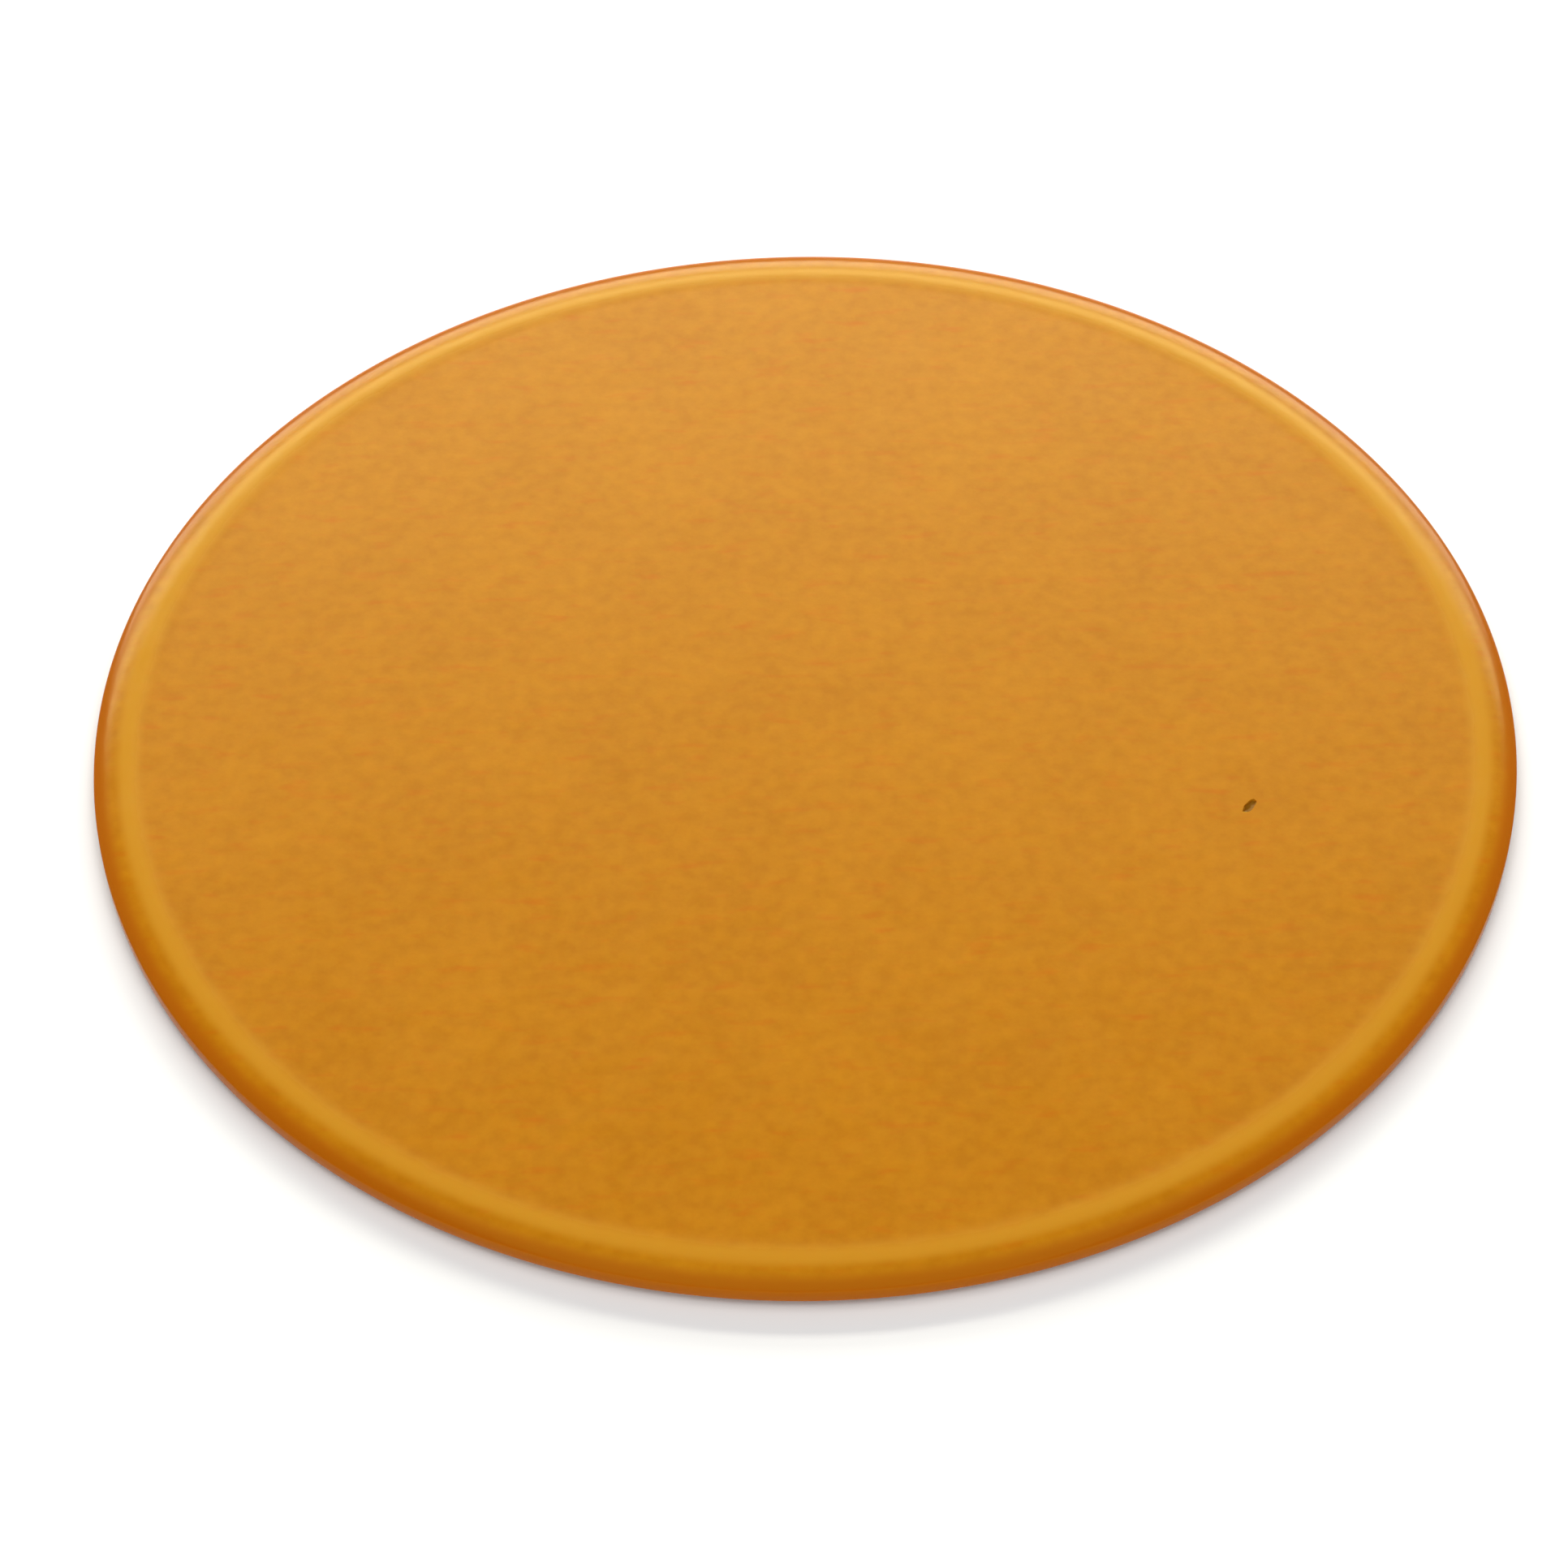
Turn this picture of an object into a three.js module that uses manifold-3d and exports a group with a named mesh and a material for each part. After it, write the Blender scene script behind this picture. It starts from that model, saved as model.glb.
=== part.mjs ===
// A low, flat, round raised pavement marker, as it is supplied, ready to stick down.
//
// A translucent amber moulded shell, open underneath, is ribbed inside and cast full of a pale
// mineral-filled core. A black butyl pad sits in the recess that the skirt leaves under the core,
// and its lower face is covered by a release liner, split along Y into two halves that come away
// sideways. Millimetres, +Z up, with the origin under the centre, on the surface it stands on.

import * as THREE from 'three';
import { mergeVertices } from 'three/addons/utils/BufferGeometryUtils.js';
import Module from 'manifold-3d';

const wasm = await Module();
wasm.setup();

// ---- Driving dimensions ----

const OUTER_R = 50; // a 100 mm marker
const SEGMENTS = 96; // steps round every revolved shape
const BOND_GAP = 0.02; // between faces that are bonded flat to each other
const CAST_GAP = 0.05; // round the core, where the casting meets the shell
const OVERLAP = 0.3; // how far a piece to be joined runs into the piece that it joins

// Heights, from the surface up
const LINER_THICK = 0.15;
const PAD_THICK = 0.6;
const PAD_PROUD = 0.3; // how far the pad's lower face stands below the shell's foot
const CORE_THICK = 0.45;
const SHELL_HEIGHT = 1.5; // from the foot to the crest of the rim

// The shell's edge, going inwards from its outer wall
const FOOT_BREAK = 0.15; // the small chamfer round the foot
const SHOULDER_RUN = 2.3; // the rounded shoulder, from the wall in to the crest
const SHOULDER_DROP = 0.5;
const SHOULDER_POWER = 1.4; // 1 is a quarter ellipse, and more is tighter at the wall and flatter above
const SHOULDER_STEPS = 6;
const BEAD_RISE = 0.055; // the crest's height above the flat face
const BEAD_RUN = 1.7; // from the crest in to where the face is flat
const BEAD_STEPS = 4;
const SKIRT_THICK = 2.4;

// The ribs under the shell's face, which key it into the core
const RIB_DEPTH = 0.3;
const RIB_WIDTH = 1.2;
const RING_RADII = [16, 32];
const SPOKE_BARS = 4; // whole diameters, so twice as many spokes

// The pad and the liner
const PAD_R = 44;
const PAD_BREAK = 0.2; // the pad's softened edge
const LINER_R = 46;
const SLIT = 0.5; // between the liner's halves

// ---- Worked out from those ----

const PAD_Z = LINER_THICK + BOND_GAP;
const PAD_TOP_Z = PAD_Z + PAD_THICK;
const FOOT_Z = PAD_Z + PAD_PROUD;
const CORE_Z = PAD_TOP_Z + BOND_GAP;
const CORE_TOP_Z = CORE_Z + CORE_THICK;
const SKIN_Z = CORE_TOP_Z + BOND_GAP; // the underside of the shell's face
const CREST_Z = FOOT_Z + SHELL_HEIGHT;
const FACE_Z = CREST_Z - BEAD_RISE;
const SKIRT_INNER_R = OUTER_R - SKIRT_THICK;
const CORE_R = SKIRT_INNER_R - CAST_GAP;

// ---- Helpers ----

// Turns a closed geometry into a solid for joining and cutting.
function toSolid(geometry) {
  const bare = geometry.index ? geometry.toNonIndexed() : geometry.clone();
  bare.deleteAttribute('normal');
  bare.deleteAttribute('uv');
  const merged = mergeVertices(bare);
  const corners = merged.index.array;
  const triangles = [];
  for (let i = 0; i < corners.length; i += 3) {
    const [a, b, c] = corners.subarray(i, i + 3);
    if (a !== b && b !== c && c !== a) triangles.push(a, b, c);
  }
  return new wasm.Manifold(new wasm.Mesh({
    numProp: 3,
    vertProperties: merged.attributes.position.array,
    triVerts: new Uint32Array(triangles),
  }));
}

// Turns a solid back into a geometry.
function toGeometry(solid) {
  const mesh = solid.getMesh();
  const geometry = new THREE.BufferGeometry();
  geometry.setAttribute('position', new THREE.BufferAttribute(mesh.vertProperties, 3));
  geometry.setIndex(new THREE.BufferAttribute(mesh.triVerts, 1));
  geometry.computeVertexNormals();
  return geometry;
}

// Revolves a profile of [radius, height] points about Z. The points run up the outside.
function revolve(profile) {
  const points = profile.map(([radius, height]) => new THREE.Vector2(radius, height));
  return new THREE.LatheGeometry(points, SEGMENTS).rotateX(Math.PI / 2);
}

// A revolved ring of rectangular section, standing on its lower height.
function ring(innerR, outerR, lowZ, highZ) {
  const section = [[innerR, lowZ], [outerR, lowZ], [outerR, highZ], [innerR, highZ], [innerR, lowZ]];
  return toSolid(revolve(section));
}

// A bar along X, centred on the axis and turned about Z.
function bar(length, width, lowZ, highZ, angle) {
  const box = new THREE.BoxGeometry(length, width, highZ - lowZ);
  box.translate(0, 0, (lowZ + highZ) / 2);
  return toSolid(box.rotateZ(angle));
}

// ---- Pieces ----

// The ribs under the shell's face, or the wider and deeper grooves that they leave in the core.
function makeRibs(clearance, reach, highZ) {
  const lowZ = SKIN_Z - RIB_DEPTH - clearance;
  const halfWidth = RIB_WIDTH / 2 + clearance;
  const rings = RING_RADII.map((radius) => ring(radius - halfWidth, radius + halfWidth, lowZ, highZ));
  const bars = [];
  for (let i = 0; i < SPOKE_BARS; i += 1) {
    bars.push(bar(2 * reach, 2 * halfWidth, lowZ, highZ, (i * Math.PI) / SPOKE_BARS));
  }
  return rings.concat(bars).reduce((whole, rib) => whole.add(rib));
}

// The shoulder from the wall up to the crest, a quarter of a superellipse.
function shoulderProfile() {
  const points = [];
  for (let i = 0; i <= SHOULDER_STEPS; i += 1) {
    const turn = (i / SHOULDER_STEPS) * (Math.PI / 2);
    const radius = OUTER_R - SHOULDER_RUN * (1 - Math.cos(turn));
    points.push([radius, CREST_Z - SHOULDER_DROP * (1 - Math.sin(turn) ** SHOULDER_POWER)]);
  }
  return points;
}

// The bead's inner side, from just inside the crest down to the flat face in a smooth S.
function beadProfile() {
  const points = [];
  for (let i = 1; i <= BEAD_STEPS; i += 1) {
    const share = i / BEAD_STEPS;
    const fall = (1 - Math.cos(share * Math.PI)) / 2;
    points.push([OUTER_R - SHOULDER_RUN - BEAD_RUN * share, CREST_Z - BEAD_RISE * fall]);
  }
  return points;
}

// The moulded shell: a flat face inside a raised rim, a rounded shoulder and a skirt, ribbed inside.
function makeShell() {
  const cap = toSolid(revolve([
    [0, SKIN_Z],
    [SKIRT_INNER_R, SKIN_Z],
    [SKIRT_INNER_R, FOOT_Z],
    [OUTER_R - FOOT_BREAK, FOOT_Z],
    [OUTER_R, FOOT_Z + FOOT_BREAK],
    ...shoulderProfile(),
    ...beadProfile(),
    [0, FACE_Z],
  ]));
  const ribs = makeRibs(0, SKIRT_INNER_R + OVERLAP, SKIN_Z + OVERLAP);
  return toGeometry(cap.add(ribs));
}

// The cast core, grooved where the ribs stand in it.
function makeCore() {
  const disc = toSolid(revolve([[0, CORE_Z], [CORE_R, CORE_Z], [CORE_R, CORE_TOP_Z], [0, CORE_TOP_Z]]));
  const grooves = makeRibs(CAST_GAP, OUTER_R, SKIN_Z + OVERLAP);
  return toGeometry(disc.subtract(grooves));
}

// The butyl pad, a thick disc with its lower edge broken where it was cut.
function makePad() {
  return revolve([
    [0, PAD_Z],
    [PAD_R - PAD_BREAK, PAD_Z],
    [PAD_R, PAD_Z + PAD_BREAK],
    [PAD_R, PAD_TOP_Z],
    [0, PAD_TOP_Z],
  ]);
}

// Half of the release liner: a thin half disc, set back from the slit. side is 1 or -1, along X.
function makeLiner(side) {
  const setBack = Math.asin(SLIT / 2 / LINER_R);
  const middle = side > 0 ? 0 : Math.PI;
  const reach = Math.PI / 2 - setBack;
  const outline = new THREE.Shape();
  outline.absarc(0, 0, LINER_R, middle - reach, middle + reach, false);
  outline.closePath();
  return new THREE.ExtrudeGeometry(outline, {
    depth: LINER_THICK,
    bevelEnabled: false,
    curveSegments: SEGMENTS / 2,
  });
}

// ---- Assembly ----

// A named piece with its own material.
function piece(name, geometry, look) {
  const mesh = new THREE.Mesh(geometry, new THREE.MeshStandardMaterial(look));
  mesh.name = name;
  return mesh;
}

const amberPlastic = { color: 0xce8727, roughness: 0.4, metalness: 0 };
const paleCasting = { color: 0xd9cfb8, roughness: 0.85, metalness: 0 };
const blackButyl = { color: 0x1b1b1c, roughness: 0.6, metalness: 0 };
const linerPaper = { color: 0xb29567, roughness: 0.5, metalness: 0 };

const marker = new THREE.Group();
marker.add(
  piece('marker_shell', makeShell(), amberPlastic),
  piece('filler_core', makeCore(), paleCasting),
  piece('adhesive_pad', makePad(), blackButyl),
  piece('liner_left', makeLiner(-1), linerPaper),
  piece('liner_right', makeLiner(1), linerPaper),
);

export default marker;
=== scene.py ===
"""A low, flat, round raised pavement marker: its looks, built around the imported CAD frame.

The amber shell, its cast core, the butyl pad and the two halves of the release liner are each a
fine mesh that stands for the CAD node of the same size. All lengths here are in metres.
"""

import math

import bmesh
import bpy
from mathutils import Matrix, Quaternion, Vector, noise


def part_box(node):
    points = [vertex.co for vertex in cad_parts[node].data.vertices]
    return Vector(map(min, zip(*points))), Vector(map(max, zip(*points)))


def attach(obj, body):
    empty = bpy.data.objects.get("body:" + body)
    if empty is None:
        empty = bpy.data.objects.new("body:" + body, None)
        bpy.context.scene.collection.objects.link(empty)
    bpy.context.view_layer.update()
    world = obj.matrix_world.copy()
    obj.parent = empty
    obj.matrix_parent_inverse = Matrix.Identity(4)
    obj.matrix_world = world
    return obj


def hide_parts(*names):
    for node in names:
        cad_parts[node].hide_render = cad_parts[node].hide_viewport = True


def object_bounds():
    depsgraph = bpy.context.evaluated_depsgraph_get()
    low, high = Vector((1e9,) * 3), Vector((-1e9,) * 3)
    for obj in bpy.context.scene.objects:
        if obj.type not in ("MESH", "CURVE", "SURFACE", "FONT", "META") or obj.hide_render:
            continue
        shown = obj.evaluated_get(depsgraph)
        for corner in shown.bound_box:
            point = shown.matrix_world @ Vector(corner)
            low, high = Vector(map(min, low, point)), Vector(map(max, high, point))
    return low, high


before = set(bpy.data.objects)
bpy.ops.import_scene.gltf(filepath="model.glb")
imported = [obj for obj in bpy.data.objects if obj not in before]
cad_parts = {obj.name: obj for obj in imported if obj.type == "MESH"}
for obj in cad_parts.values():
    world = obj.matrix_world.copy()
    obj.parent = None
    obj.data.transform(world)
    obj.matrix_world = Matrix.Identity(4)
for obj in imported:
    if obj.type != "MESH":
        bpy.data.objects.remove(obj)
cad_low, cad_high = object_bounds()

# ---- Sizes: the frame gives the overall ones, and these give the fine shape ----

MM = 0.001
SEGMENTS = 512  # steps round every revolved piece
ROUND_STEPS = 20  # steps along the shoulder and along the rim's inner side
FILLET_STEPS = 5
SHARP_ANGLE = math.radians(32)  # an edge that turns by more than this is shown sharp
ON_AXIS = 1e-9  # a smaller radius than this is a point on the axis
BOND_GAP = 0.02 * MM  # between faces that are bonded flat to each other
CAST_GAP = 0.05 * MM  # round the core, where the casting meets the shell

SHOULDER_RUN = 2.3 * MM
SHOULDER_DROP = 0.5 * MM
SHOULDER_POWER = 1.4  # 1 is a quarter ellipse, and more is tighter at the wall and flatter above
BEAD_RISE = 0.055 * MM
BEAD_RUN = 1.7 * MM
SKIRT_THICK = 2.4 * MM
FOOT_FILLET = 0.15 * MM
FACE_RING_STEP = 1.2 * MM  # between the rings of vertices on the flat face
FACE_WAVE = 0.012 * MM  # how far the moulded face strays from flat
FACE_WAVE_SIZE = 14 * MM
FACE_WAVE_POWER = 4  # a higher power keeps the wave strong until nearer to the rim

RIB_DEPTH = 0.3 * MM
RIB_WIDTH = 1.2 * MM
RING_RADII = (16 * MM, 32 * MM)
SPOKE_BARS = 4
JOIN = 0.3 * MM  # how far the ribs run into the shell before they are joined to it

PIT_PLACE = (0.612, -0.202)  # of the shell's radius, across and along the face
PIT_LENGTH = 1.5 * MM
PIT_WIDTH = 0.66 * MM
PIT_DEPTH = 0.2 * MM
PIT_TURN = math.radians(52)
PIT_SUBDIVISIONS = 4
PIT_ROUGH = 0.22  # how far the pit strays from an even almond, as a share of its size
PIT_ROUGH_SCALE = 1.7
PIT_ROUGH_PLACE = Vector((3.1, 0.4, 7.7))  # where in the noise the pit's own shape is found

PAD_FILLET = 0.18 * MM
PAD_WAVE = 0.12 * MM  # how unevenly the soft pad was cut
PAD_WAVE_SCALE = 6  # a higher scale gives more waves round the pad
MENISCUS_RISE = 0.12 * MM  # how far the casting wets its way along the skirt
MENISCUS_RUN = 0.7 * MM
LINER_CORNER = 1.2 * MM
LINER_STEPS = 180

shell_low, shell_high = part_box("marker_shell")
core_low, core_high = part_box("filler_core")
pad_low, pad_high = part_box("adhesive_pad")

OUTER_R = shell_high.x
FOOT_Z = shell_low.z
CREST_Z = shell_high.z
FACE_Z = CREST_Z - BEAD_RISE
FACE_R = OUTER_R - SHOULDER_RUN - BEAD_RUN
SKIRT_INNER_R = OUTER_R - SKIRT_THICK
SKIN_Z = core_high.z + BOND_GAP


# ---- Mesh helpers ----


def make_object(name, shape, material):
    """An object from a bmesh, smooth except across its real edges."""
    bmesh.ops.recalc_face_normals(shape, faces=shape.faces)
    mesh = bpy.data.meshes.new(name)
    shape.to_mesh(mesh)
    shape.free()
    mesh.shade_smooth()
    mesh.set_sharp_from_angle(angle=SHARP_ANGLE)
    if material is not None:
        mesh.materials.append(material)
    made = bpy.data.objects.new(name, mesh)
    bpy.context.collection.objects.link(made)
    return made


def circle_of(shape, radius, height):
    """One ring of vertices, or the single vertex where the radius is nothing."""
    if radius < ON_AXIS:
        return [shape.verts.new((0, 0, height))]
    turns = (2 * math.pi * i / SEGMENTS for i in range(SEGMENTS))
    return [shape.verts.new((radius * math.cos(t), radius * math.sin(t), height)) for t in turns]


def bridge(shape, first, second):
    """Faces between two rings, or between a ring and a point."""
    count = max(len(first), len(second))
    for i in range(count):
        after = (i + 1) % count
        corners = [first[i % len(first)], first[after % len(first)]]
        corners += [second[after % len(second)], second[i % len(second)]]
        shape.faces.new(list(dict.fromkeys(corners)))


def revolve(profile, closed=False):
    """A bmesh from (radius, height) points that start and end on the axis, or close on themselves."""
    shape = bmesh.new()
    rings = [circle_of(shape, radius, height) for radius, height in profile]
    for first, second in zip(rings, rings[1:]):
        bridge(shape, first, second)
    if closed:
        bridge(shape, rings[-1], rings[0])
    return shape


def quarter(centre, radii, start, steps):
    """Points on a quarter turn of an ellipse, from the angle start in degrees."""
    points = []
    for i in range(steps + 1):
        turn = math.radians(start + 90 * i / steps)
        points.append((centre[0] + radii[0] * math.cos(turn), centre[1] + radii[1] * math.sin(turn)))
    return points


def spaced(start, end, step):
    """Even values from start to end, both left out, no more than step apart."""
    count = max(1, math.ceil(abs(end - start) / step))
    return [start + (end - start) * i / count for i in range(1, count)]


def combine(target, tool, operation):
    """Joins tool to target or cuts it away, and leaves one mesh.

    Where faces meet, the exact solver can leave doubled points and open edges in the mesh.
    """
    cut = target.modifiers.new("cut", "BOOLEAN")
    cut.operation = operation
    cut.solver = "EXACT"
    cut.object = tool
    graph = bpy.context.evaluated_depsgraph_get()
    mesh = bpy.data.meshes.new_from_object(target.evaluated_get(graph))
    target.modifiers.clear()
    target.data = mesh
    bpy.data.objects.remove(tool)


# ---- Material helpers ----


class Look:
    """One material, with short ways to add its nodes."""

    def __init__(self, name):
        self.material = bpy.data.materials.new(name)
        self.material.use_nodes = True
        self.tree = self.material.node_tree
        self.shader = self.tree.nodes["Principled BSDF"]
        self.place = self.add("ShaderNodeTexCoord").outputs["Object"]

    def add(self, kind, **settings):
        node = self.tree.nodes.new(kind)
        for key, value in settings.items():
            setattr(node, key, value)
        return node

    def link(self, source, target):
        self.tree.links.new(source, target)

    def plain(self, **values):
        """Sets sockets that are the same all over. A name's underscores stand for spaces."""
        for key, value in values.items():
            self.shader.inputs[key.replace("_", " ")].default_value = value

    def drive(self, name, source):
        self.link(source, self.shader.inputs[name])

    def stretched(self, x, y, z):
        """The place on the piece, scaled along each axis."""
        node = self.add("ShaderNodeMapping")
        node.inputs["Scale"].default_value = (x, y, z)
        self.link(self.place, node.inputs["Vector"])
        return node.outputs["Vector"]

    def grain(self, size, detail=3.0, roughness=0.55, distortion=0.0, where=None):
        """Soft noise whose blotches are about size across, from 0 to 1."""
        node = self.add("ShaderNodeTexNoise")
        node.inputs["Scale"].default_value = 1 / size
        node.inputs["Detail"].default_value = detail
        node.inputs["Roughness"].default_value = roughness
        node.inputs["Distortion"].default_value = distortion
        self.link(where or self.place, node.inputs["Vector"])
        return node.outputs["Fac"]

    def cells(self, size):
        """Distance to the nearest of scattered points about size apart."""
        node = self.add("ShaderNodeTexVoronoi", feature="F1")
        node.inputs["Scale"].default_value = 1 / size
        self.link(self.place, node.inputs["Vector"])
        return node.outputs["Distance"]

    def spread(self, source, low, high, to_low=0.0, to_high=1.0, smooth=False):
        """Maps source from low and high to to_low and to_high, held at its ends."""
        kind = "SMOOTHSTEP" if smooth else "LINEAR"
        node = self.add("ShaderNodeMapRange", interpolation_type=kind)
        node.clamp = True
        for index, value in enumerate((low, high, to_low, to_high), start=1):
            node.inputs[index].default_value = value
        self.link(source, node.inputs["Value"])
        return node.outputs["Result"]

    def sums(self, operation, first, second):
        """One maths step on two sockets, or on a socket and a number."""
        node = self.add("ShaderNodeMath", operation=operation)
        for socket, value in zip(node.inputs, (first, second)):
            if isinstance(value, (int, float)):
                socket.default_value = value
            else:
                self.link(value, socket)
        return node.outputs["Value"]

    def blend(self, factor, first, second):
        """Mixes two colours, each a socket or a linear RGB triple."""
        node = self.add("ShaderNodeMix", data_type="RGBA", blend_type="MIX")
        if isinstance(factor, (int, float)):
            node.inputs["Factor"].default_value = factor
        else:
            self.link(factor, node.inputs["Factor"])
        for name, value in (("A", first), ("B", second)):
            socket = next(s for s in node.inputs if s.name == name and s.type == "RGBA")
            if isinstance(value, tuple):
                socket.default_value = (*value, 1)
            else:
                self.link(value, socket)
        return next(s for s in node.outputs if s.type == "RGBA")

    def bump(self, height, depth, under=None):
        """A bump of about depth metres from a 0 to 1 height, over another bump if there is one."""
        node = self.add("ShaderNodeBump")
        node.inputs["Strength"].default_value = 1.0
        node.inputs["Distance"].default_value = depth
        self.link(height, node.inputs["Height"])
        if under is not None:
            self.link(under, node.inputs["Normal"])
        return node.outputs["Normal"]

    def radius(self):
        """How far the place is from the disc's axis."""
        flat = self.add("ShaderNodeVectorMath", operation="MULTIPLY")
        flat.inputs[1].default_value = (1, 1, 0)
        self.link(self.place, flat.inputs[0])
        length = self.add("ShaderNodeVectorMath", operation="LENGTH")
        self.link(flat.outputs["Vector"], length.inputs[0])
        return length.outputs["Value"]

    def height(self):
        """How high the place is."""
        split = self.add("ShaderNodeSeparateXYZ")
        self.link(self.place, split.inputs["Vector"])
        return split.outputs["Z"]


def linear(red, green, blue):
    """Linear RGB from a screen colour of 0 to 255."""
    def one(value):
        share = value / 255
        return share / 12.92 if share <= 0.04045 else ((share + 0.055) / 1.055) ** 2.4
    return (one(red), one(green), one(blue))


def linear_pair(colours):
    """The linear RGB of a pair of screen colours."""
    return [linear(*colour) for colour in colours]


# ---- Materials ----

# Screen colours of 0 to 255. The pairs are the two ends of a blend.
AMBER_CLOUD = ((174, 109, 10), (181, 116, 13))
AMBER_MOTTLE = ((168, 102, 8), (188, 122, 17))
AMBER_STREAK = (184, 90, 8)
# Painted highlight: a pale ring along the crest
AMBER_CREST_HIGHLIGHT = (189, 131, 33)
# Painted shade: deep orange down the wall
AMBER_WALL_SHADE = (168, 91, 9)
# Painted shade: darker in the pit
PIT_SHADE = (130, 79, 9)
RESIN_SAND = ((232, 223, 201), (201, 189, 162))
RESIN_CLOUD = (222, 205, 170)
BUTYL_SMEAR = ((24, 24, 25), (36, 36, 38))
PAPER_FIBRE = ((168, 138, 92), (188, 160, 114))
PAPER_CLOUD = (180, 150, 104)

# Linear colours
AMBER_SHEEN = (1.0, 0.92, 0.08, 1.0)
FLOOR_TONES = ((0.88, 0.88, 0.875), (0.90, 0.90, 0.895))

# Where the shell's looks start and stop changing, in from its outer wall
# Where the painted shade down the wall fades
WALL_SHADE_FADE = (0.4 * MM, 1.4 * MM)
# Where the painted highlight along the crest rises and falls
CREST_HIGHLIGHT_RISE = (1.3 * MM, 2.2 * MM)
CREST_HIGHLIGHT_FALL = (2.5 * MM, 3.7 * MM)
POLISH_FADE = (2.3 * MM, 3.6 * MM)
FACE_START = (4.2 * MM, 4.4 * MM)

# The heights between which the painted shade in the pit lies, each with its fade
PIT_SHADE_TOP = (FACE_Z - 0.12 * MM, FACE_Z - 0.02 * MM)
PIT_SHADE_FOOT = (FACE_Z - 0.4 * MM, FACE_Z - 0.3 * MM)

MOTTLE_SHARE = 0.5
STREAK_SHARE = 0.4
CREST_POLISH = 0.18  # how much smoother the polished shoulder is than the face


def amber_plastic():
    """Satin amber plastic, with a painted highlight along the crest, painted shade in deep orange down the
    wall, and painted shade in its pit.
    """
    look = Look("amber_plastic")
    look.plain(
        IOR=1.49,
        Specular_IOR_Level=0.14,
        Specular_Tint=AMBER_SHEEN,
        Subsurface_Weight=0.35,
        Subsurface_Radius=(1.0, 0.42, 0.12),
        Subsurface_Scale=1.4 * MM,
    )
    cloud = look.spread(look.grain(9 * MM, detail=2.0), 0.35, 0.65)
    mottle = look.spread(look.grain(1.1 * MM, detail=3.0), 0.3, 0.7)
    colour = look.blend(cloud, *linear_pair(AMBER_CLOUD))
    mottled = look.blend(mottle, *linear_pair(AMBER_MOTTLE))
    colour = look.blend(MOTTLE_SHARE, colour, mottled)

    # Faint reddish streaks along X
    streaks = look.grain(1.0, detail=3.0, where=look.stretched(300, 1000, 1000))
    streaks = look.spread(streaks, 0.55, 0.75, 0.0, STREAK_SHARE)
    colour = look.blend(streaks, colour, linear(*AMBER_STREAK))

    # Painted highlight along the crest, and painted shade in deep orange down the wall
    inset = look.sums("SUBTRACT", OUTER_R, look.radius())
    crest_highlight = look.spread(inset, *CREST_HIGHLIGHT_RISE, smooth=True)
    crest_highlight = look.sums("MULTIPLY", crest_highlight, look.spread(inset, *CREST_HIGHLIGHT_FALL, 1.0, 0.0, smooth=True))
    colour = look.blend(crest_highlight, colour, linear(*AMBER_CREST_HIGHLIGHT))
    # Painted shade down the outer wall
    wall_shade = look.spread(inset, *WALL_SHADE_FADE, 1.0, 0.0, smooth=True)
    colour = look.blend(wall_shade, colour, linear(*AMBER_WALL_SHADE))

    # Painted shade in the pit, the only place on the face that lies so low
    height = look.height()
    pit_shade = look.spread(height, *PIT_SHADE_TOP, 1.0, 0.0)
    pit_shade = look.sums("MULTIPLY", pit_shade, look.spread(height, *PIT_SHADE_FOOT))
    pit_shade = look.sums("MULTIPLY", pit_shade, look.spread(inset, *FACE_START))
    colour = look.blend(pit_shade, colour, linear(*PIT_SHADE))
    look.drive("Base Color", colour)

    scuffs = look.grain(5 * MM, detail=5.0, roughness=0.7, distortion=1.2)
    satin = look.spread(scuffs, 0.3, 0.7, 0.32, 0.4)
    polished = look.spread(inset, *POLISH_FADE, CREST_POLISH, 0.0, smooth=True)
    look.drive("Roughness", look.sums("SUBTRACT", satin, polished))

    eroded = look.bump(look.grain(0.32 * MM, detail=2.0), depth=0.005 * MM)
    orange_peel = look.bump(look.grain(2.2 * MM, detail=1.0), depth=0.014 * MM, under=eroded)
    look.drive("Normal", orange_peel)
    return look.material


def cast_resin():
    """Mineral-filled resin: pale, matte and gritty, with pin holes."""
    look = Look("cast_resin")
    look.plain(IOR=1.5, Specular_IOR_Level=0.3)
    sand = look.cells(0.35 * MM)
    tone = look.blend(look.spread(sand, 0.1, 0.7), *linear_pair(RESIN_SAND))
    cloud = look.spread(look.grain(6 * MM), 0.3, 0.7, 0.0, 0.35)
    look.drive("Base Color", look.blend(cloud, tone, linear(*RESIN_CLOUD)))
    look.drive("Roughness", look.spread(look.grain(0.5 * MM), 0.3, 0.7, 0.7, 0.92))
    grit = look.bump(sand, depth=0.04 * MM)
    holes = look.spread(look.cells(1.6 * MM), 0.08, 0.16)
    look.drive("Normal", look.bump(holes, depth=0.12 * MM, under=grit))
    return look.material


def butyl():
    """Black tacky butyl: soft sheen, faint smears and the fine imprint of its liner."""
    look = Look("butyl")
    look.plain(IOR=1.52, Specular_IOR_Level=0.5)
    smear = look.grain(7 * MM, detail=4.0, distortion=0.8)
    look.drive("Base Color", look.blend(look.spread(smear, 0.3, 0.7), *linear_pair(BUTYL_SMEAR)))
    look.drive("Roughness", look.spread(smear, 0.3, 0.7, 0.38, 0.62))
    imprint = look.bump(look.grain(0.4 * MM), depth=0.02 * MM)
    look.drive("Normal", look.bump(look.grain(3 * MM), depth=0.06 * MM, under=imprint))
    return look.material


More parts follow.
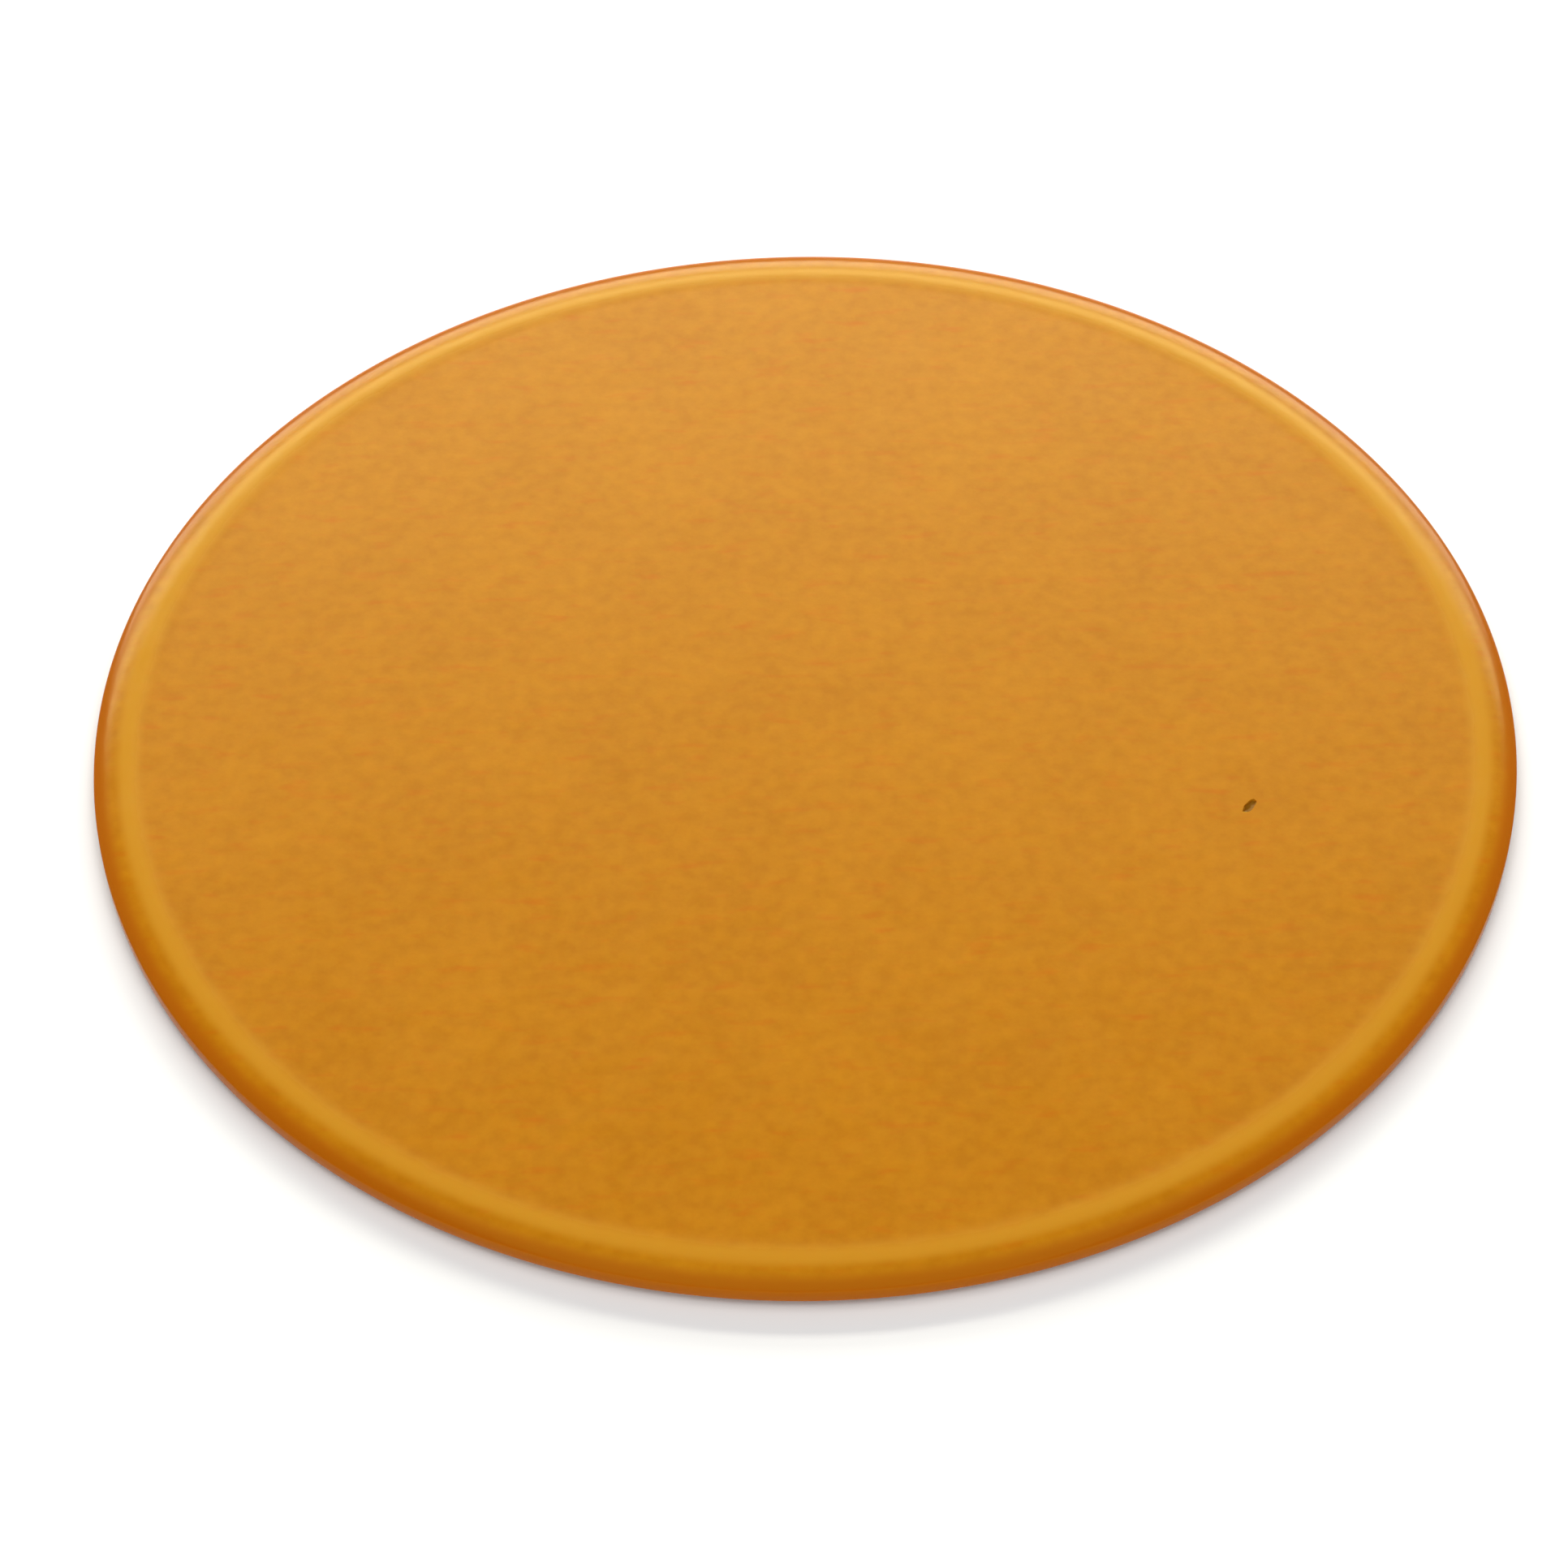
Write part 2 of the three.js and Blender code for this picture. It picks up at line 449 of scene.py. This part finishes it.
def release_paper():
    """Buff kraft paper with a silicone gloss: short fibres both ways and cloudy formation."""
    look = Look("release_paper")
    look.plain(IOR=1.45, Specular_IOR_Level=0.25, Coat_Weight=0.06, Coat_Roughness=0.35)
    along = look.grain(1.0, detail=4.0, where=look.stretched(900, 140, 900))
    across = look.grain(1.0, detail=4.0, where=look.stretched(160, 1100, 900))
    fibres = look.sums("MULTIPLY", look.sums("ADD", along, across), 0.5)
    tone = look.blend(look.spread(fibres, 0.35, 0.65), *linear_pair(PAPER_FIBRE))
    cloud = look.spread(look.grain(4 * MM), 0.35, 0.65, 0.0, 0.4)
    look.drive("Base Color", look.blend(cloud, tone, linear(*PAPER_CLOUD)))
    look.drive("Roughness", look.spread(fibres, 0.3, 0.7, 0.42, 0.6))
    look.drive("Normal", look.bump(fibres, depth=0.02 * MM))
    return look.material


def pale_floor():
    """A plain pale matte floor."""
    look = Look("pale_floor")
    look.plain(Specular_IOR_Level=0.15)
    soft = look.grain(60 * MM, detail=2.0)
    look.drive("Base Color", look.blend(look.spread(soft, 0.3, 0.7), *FLOOR_TONES))
    look.drive("Roughness", look.spread(soft, 0.3, 0.7, 0.75, 0.85))
    return look.material


# ---- Pieces ----


def ribs(clearance, reach, top):
    """The ring ribs and spokes under the face, or the grooves that they leave, as one object."""
    low = SKIN_Z - RIB_DEPTH - clearance
    half = RIB_WIDTH / 2 + clearance
    whole = None
    for middle in RING_RADII:
        corners = [(middle - half, low), (middle + half, low), (middle + half, top), (middle - half, top)]
        one = make_object("rib", revolve(corners, closed=True), None)
        whole = one if whole is None else whole
        if one is not whole:
            combine(whole, one, "UNION")
    for i in range(SPOKE_BARS):
        bar = bmesh.new()
        bmesh.ops.create_cube(bar, size=1)
        bar.transform(Matrix.Diagonal((2 * reach, 2 * half, top - low, 1)))
        bar.transform(Matrix.Translation((0, 0, (top + low) / 2)))
        bar.transform(Matrix.Rotation(math.pi * i / SPOKE_BARS, 4, "Z"))
        combine(whole, make_object("rib", bar, None), "UNION")
    return whole


def rim_profile():
    """The shell's outside, from the foot up over the shoulder and the bead to the flat face."""
    centre = (OUTER_R - FOOT_FILLET, FOOT_Z + FOOT_FILLET)
    foot = quarter(centre, (FOOT_FILLET, FOOT_FILLET), -90, FILLET_STEPS)
    shoulder = []
    for i in range(ROUND_STEPS + 1):
        turn = math.pi / 2 * i / ROUND_STEPS
        radius = OUTER_R - SHOULDER_RUN * (1 - math.cos(turn))
        shoulder.append((radius, CREST_Z - SHOULDER_DROP * (1 - math.sin(turn) ** SHOULDER_POWER)))
    bead = []
    for i in range(1, ROUND_STEPS + 1):
        share = i / ROUND_STEPS
        fall = (1 - math.cos(share * math.pi)) / 2
        bead.append((OUTER_R - SHOULDER_RUN - BEAD_RUN * share, CREST_Z - BEAD_RISE * fall))
    return foot + shoulder + bead


def pit_tool():
    """A small almond-shaped cutter for the chip in the face."""
    chip = bmesh.new()
    bmesh.ops.create_icosphere(chip, subdivisions=PIT_SUBDIVISIONS, radius=1)
    for vertex in chip.verts:
        rough = noise.noise(vertex.co * PIT_ROUGH_SCALE + PIT_ROUGH_PLACE)
        vertex.co *= 1 + PIT_ROUGH * rough
    chip.transform(Matrix.Diagonal((PIT_LENGTH / 2, PIT_WIDTH / 2, PIT_DEPTH, 1)))
    chip.transform(Matrix.Rotation(PIT_TURN, 4, "Z"))
    chip.transform(Matrix.Translation((PIT_PLACE[0] * OUTER_R, PIT_PLACE[1] * OUTER_R, FACE_Z)))
    return make_object("chip", chip, None)


def shell(material):
    """The moulded shell, with its ribs inside and the chip in its face."""
    face = [(radius, FACE_Z) for radius in spaced(FACE_R, 0, FACE_RING_STEP)]
    inside = [(0, SKIN_Z), (SKIRT_INNER_R, SKIN_Z), (SKIRT_INNER_R, FOOT_Z)]
    shape = revolve(inside + rim_profile() + face + [(0, FACE_Z)])
    for vertex in shape.verts:
        if vertex.co.z > FACE_Z - BOND_GAP:
            away = 1 - (vertex.co.xy.length / FACE_R) ** FACE_WAVE_POWER
            wave = noise.noise(Vector((vertex.co.x, vertex.co.y, 0)) / FACE_WAVE_SIZE)
            vertex.co.z += FACE_WAVE * wave * max(0.0, away)
    made = make_object("shell_amber_moulding", shape, material)
    combine(made, ribs(0, SKIRT_INNER_R + JOIN, SKIN_Z + JOIN), "UNION")
    combine(made, pit_tool(), "DIFFERENCE")
    return tidy(made, material)


def tidy(made, material):
    """Gives a cut piece its one material back, and its smooth and sharp edges."""
    mesh = made.data
    mesh.materials.clear()
    mesh.materials.append(material)
    for face in mesh.polygons:
        face.material_index = 0
    mesh.shade_smooth()
    mesh.set_sharp_from_angle(angle=SHARP_ANGLE)
    return made


def core(material):
    """The cast core, with a meniscus where it wets the skirt and grooves round the ribs."""
    outer = core_high.x
    lower = []
    for i in range(FILLET_STEPS + 1):
        share = i / FILLET_STEPS
        lower.append((outer - MENISCUS_RUN * (1 - share), core_low.z - MENISCUS_RISE * share ** 2))
    profile = [(0, core_low.z)] + lower + [(outer, core_high.z), (0, core_high.z)]
    made = make_object("core_cast_filling", revolve(profile), material)
    combine(made, ribs(CAST_GAP, OUTER_R, SKIN_Z + JOIN), "DIFFERENCE")
    return tidy(made, material)


def pad(material):
    """The butyl pad: rounded below, bulged at its side, and cut a little unevenly."""
    edge = pad_high.x
    low = quarter((edge - PAD_FILLET, pad_low.z + PAD_FILLET), (PAD_FILLET, PAD_FILLET), -90, FILLET_STEPS)
    high = quarter((edge - PAD_FILLET, pad_high.z - PAD_FILLET), (PAD_FILLET, PAD_FILLET), 0, FILLET_STEPS)
    shape = revolve([(0, pad_low.z)] + low + high + [(0, pad_high.z)])
    for vertex in shape.verts:
        reach = vertex.co.xy.length
        if reach > edge / 2:
            turn = vertex.co.xy.normalized()
            wave = noise.noise(Vector((turn.x, turn.y, 0)) * PAD_WAVE_SCALE)
            vertex.co.xy = turn * (reach - PAD_WAVE * (0.5 + 0.5 * wave))
    return make_object("pad_butyl", shape, material)


def liner(name, node, side, material):
    """Half of the release liner: a thin half disc with its corners rounded. side is 1 or -1."""
    low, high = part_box(node)
    radius = max(high.y, -low.y)
    slit = min(abs(low.x), abs(high.x))
    centre_x = slit + LINER_CORNER
    centre_y = math.sqrt((radius - LINER_CORNER) ** 2 - centre_x ** 2)
    start = math.atan2(centre_y, centre_x)
    outline = []
    for i in range(LINER_STEPS + 1):
        turn = -start + 2 * start * i / LINER_STEPS
        outline.append((radius * math.cos(turn), radius * math.sin(turn)))
    for i in range(1, FILLET_STEPS + 1):
        turn = start + (math.pi - start) * i / FILLET_STEPS
        corner = (centre_x + LINER_CORNER * math.cos(turn), centre_y + LINER_CORNER * math.sin(turn))
        outline.append(corner)
    below = [(x, -y) for x, y in reversed(outline[LINER_STEPS + 1:])]
    shape = bmesh.new()
    lower = [shape.verts.new((side * x, y, low.z)) for x, y in outline + below]
    upper = [shape.verts.new((v.co.x, v.co.y, high.z)) for v in lower]
    shape.faces.new(lower)
    shape.faces.new(upper)
    bridge(shape, lower, upper)
    return make_object(name, shape, material)


# ---- Stage ----

CAMERA_AIM = Vector((-0.0299 * OUTER_R, -0.118 * OUTER_R, FOOT_Z))
CAMERA_DISTANCE = 5.6 * OUTER_R
CAMERA_ELEVATION = math.radians(47.28)
CAMERA_ROLL = math.radians(-1.09)
CAMERA_LENS = 91.9
CAMERA_SENSOR = 36.0
CAMERA_CLIP = 0.01
FLOOR_SIZE = 8.0
FLOOR_CELLS = 8  # along each side of the floor's grid

LIGHT_AIM = Vector((0, 0, 0))
WHITE_LIGHT = (1.0, 1.0, 1.0)
LOW_BACK_COLOUR = (1.0, 0.97, 0.87)
HIGH_BACK_COLOUR = (1.0, 0.97, 0.85)
SURROUND_COLOUR = (0.97, 0.98, 1.0, 1)
SURROUND_STRENGTH = 0.25


def camera():
    """The camera in front of the marker, looking down at it from just over 45 degrees."""
    data = bpy.data.cameras.new("camera")
    data.lens = CAMERA_LENS
    data.sensor_width = CAMERA_SENSOR
    data.clip_start = CAMERA_CLIP
    made = bpy.data.objects.new("camera", data)
    back = Vector((0, -math.cos(CAMERA_ELEVATION), math.sin(CAMERA_ELEVATION)))
    made.location = CAMERA_AIM + back * CAMERA_DISTANCE
    made.rotation_mode = "QUATERNION"
    level = (-back).to_track_quat("-Z", "Y")
    made.rotation_quaternion = level @ Quaternion((0, 0, 1), CAMERA_ROLL)
    bpy.context.collection.objects.link(made)
    bpy.context.scene.camera = made


def softbox(name, place, width, height, power, colour):
    """A soft rectangular light at place, facing the marker. power is in watts."""
    data = bpy.data.lights.new(name, "AREA")
    data.shape = "RECTANGLE"
    data.size = width
    data.size_y = height
    data.energy = power
    data.color = colour
    made = bpy.data.objects.new(name, data)
    made.location = place
    made.rotation_mode = "QUATERNION"
    made.rotation_quaternion = (LIGHT_AIM - Vector(place)).to_track_quat("-Z", "Y")
    bpy.context.collection.objects.link(made)


def lights():
    """Two wide lights behind, one low and one high, a broad one above, a front fill and a pale surround."""
    softbox("back_light", (0, 0.45, 0.19), width=0.7, height=0.12, power=2.1, colour=LOW_BACK_COLOUR)
    softbox("high_back_light", (0, 0.37, 0.285), width=0.6, height=0.06, power=1.4, colour=HIGH_BACK_COLOUR)
    softbox("top_light", (0, -0.1, 0.9), width=0.8, height=0.8, power=4.1, colour=WHITE_LIGHT)
    softbox("front_fill", (0, -0.8, 0.35), width=1.2, height=0.4, power=3.7, colour=WHITE_LIGHT)
    world = bpy.data.worlds.new("surround")
    world.use_nodes = True
    surround = world.node_tree.nodes["Background"]
    surround.inputs["Color"].default_value = SURROUND_COLOUR
    surround.inputs["Strength"].default_value = SURROUND_STRENGTH
    bpy.context.scene.world = world


def floor(material):
    """The flat floor just under the marker, which belongs to the stage and not to the part."""
    shape = bmesh.new()
    bmesh.ops.create_grid(shape, x_segments=FLOOR_CELLS, y_segments=FLOOR_CELLS, size=FLOOR_SIZE / 2)
    made = make_object("floor", shape, material)
    made.location.z = cad_low.z - BOND_GAP


# ---- Build ----

camera()
lights()
floor(pale_floor())
bpy.context.scene.view_settings.view_transform = "Standard"

paper = release_paper()
pieces = [
    (shell(amber_plastic()), "marker", "marker_shell", "shell_amber"),
    (core(cast_resin()), "marker", "filler_core", "core_pale"),
    (pad(butyl()), "marker", "adhesive_pad", "pad_black"),
    (liner("liner_left_paper", "liner_left", -1, paper), "liner_left", "liner_left", "liner_paper"),
    (liner("liner_right_paper", "liner_right", 1, paper), "liner_right", "liner_right", "liner_paper"),
]
for piece, body, node, finish in pieces:
    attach(piece, body)
    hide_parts(node)
